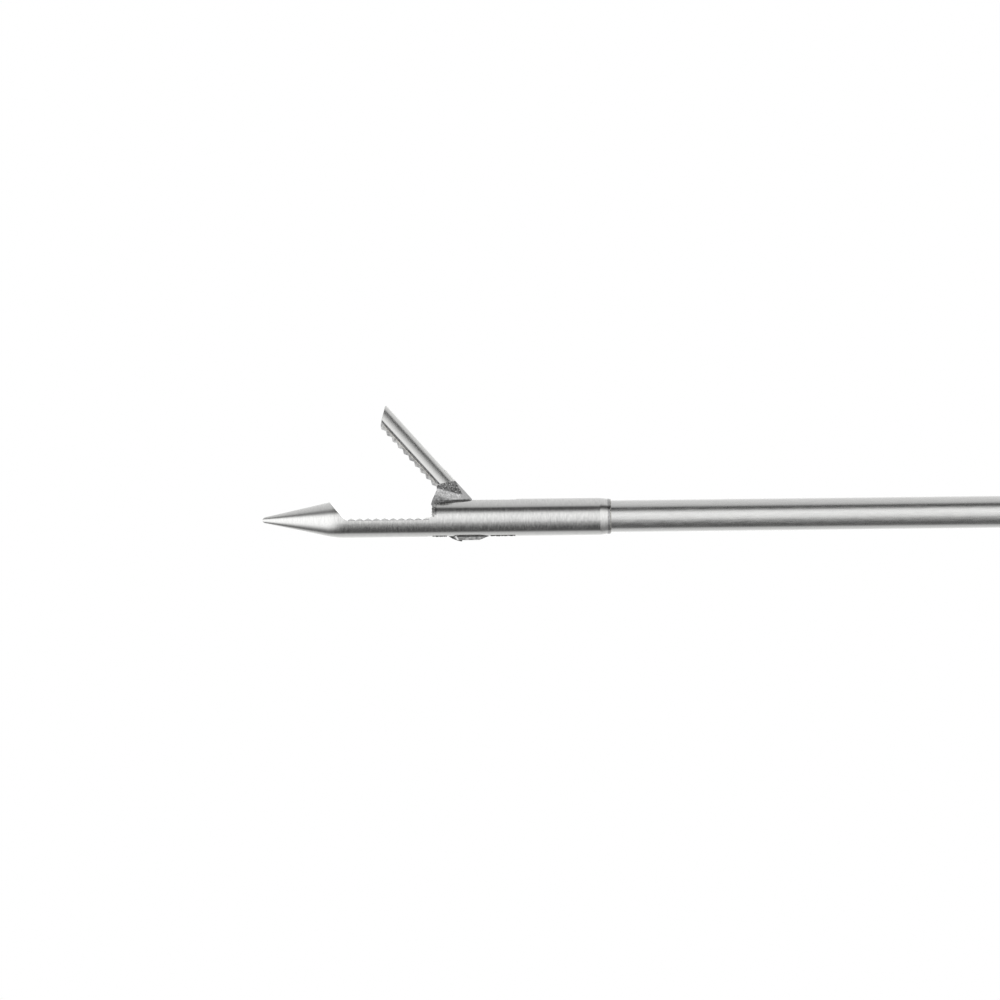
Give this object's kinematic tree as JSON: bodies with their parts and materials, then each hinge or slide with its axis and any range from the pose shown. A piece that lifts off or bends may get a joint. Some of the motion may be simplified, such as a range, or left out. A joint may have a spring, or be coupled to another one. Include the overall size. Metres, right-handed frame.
{
  "type": "laparoscopic grasper",
  "caption": "Slim laparoscopic grasper with a pointed notched head, a hinged serrated jaw, a turning shaft, a push rod and ring handles.",
  "frame": {"origin": "on the shaft's axis at the rear shoulder of the jaw head, where the tube leaves it", "axes": "-X along the shaft to the pointed tip, +Z towards the side the jaw opens to, the rings hang to -Z, Y across"},
  "size_m": [0.2785, 0.0188, 0.1199],
  "materials": {
    "head_steel": "fine turned brushing round the axis",
    "jaw_steel": "ground and brushed, cast texture on the neck",
    "insert_steel": "grey sintered strip with cut teeth",
    "tube_steel": "drawn and brushed tube",
    "rod_steel": "grey drawn wire",
    "knob_steel": "turned satin steel",
    "handle_steel": "bead-blasted satin steel",
    "port_steel": "turned satin steel",
    "screw_steel": "turned steel",
    "spring_steel": "blued spring steel",
    "bearing_bronze": "plain turned bronze",
    "seal_rubber": "matt silicone"
  },
  "bodies": {
    "handle": {"handle_frame": "handle_steel", "thrust_washer": "bearing_bronze", "gland_nut": "knob_steel", "seal_ring": "seal_rubber", "flush_port": "port_steel", "pivot_screw": "screw_steel", "pivot_nut": "screw_steel", "stop_screw": "screw_steel"},
    "shaft": {"jaw_head": "head_steel", "jaw_pin": "head_steel", "outer_tube": "tube_steel", "rotation_knob": "knob_steel", "tube_ferrule": "tube_steel", "knob_set_screw": "screw_steel", "retaining_ring": "spring_steel"},
    "rod": {"drive_rod": "rod_steel", "drive_tang": "rod_steel", "drive_pin": "rod_steel", "rod_ball": "screw_steel", "rod_lock_nut": "screw_steel"},
    "jaw": {"moving_jaw": "jaw_steel", "jaw_insert": "insert_steel"},
    "lever": {"thumb_lever": "handle_steel", "pivot_bush": "bearing_bronze"},
    "cap": {"flush_cap": "port_steel", "cap_gasket": "seal_rubber"}
  },
  "joints": [
    {"name": "shaft_turn", "type": "hinge", "parent": "handle", "child": "shaft", "pos_m": [0, 0, 0], "axis": [1, 0, 0], "continuous": true},
    {"name": "lever_squeeze", "type": "hinge", "parent": "handle", "child": "lever", "pos_m": [0.19959, 0, -0.0065], "axis": [0, 1, 0], "range_deg": [0, 12.21]},
    {"name": "rod_pull", "type": "slide", "parent": "shaft", "child": "rod", "axis": [1, 0, 0], "range_m": [0, 0.00139]},
    {"name": "jaw_close", "type": "hinge", "parent": "shaft", "child": "jaw", "pos_m": [-0.01125, 0, 0.00043], "axis": [0, -1, 0], "range_deg": [0, 48.3]},
    {"name": "cap_twist", "type": "hinge", "parent": "handle", "child": "cap", "pos_m": [0.18055, 0, 0.0164], "axis": [0, 0, 1], "range_deg": [0, 90]}
  ],
  "couplings": [
    {"joint": "rod_pull", "follows": "lever_squeeze", "m_per_rad": 0.0065247},
    {"joint": "jaw_close", "follows": "lever_squeeze", "ratio": 3.957}
  ]
}
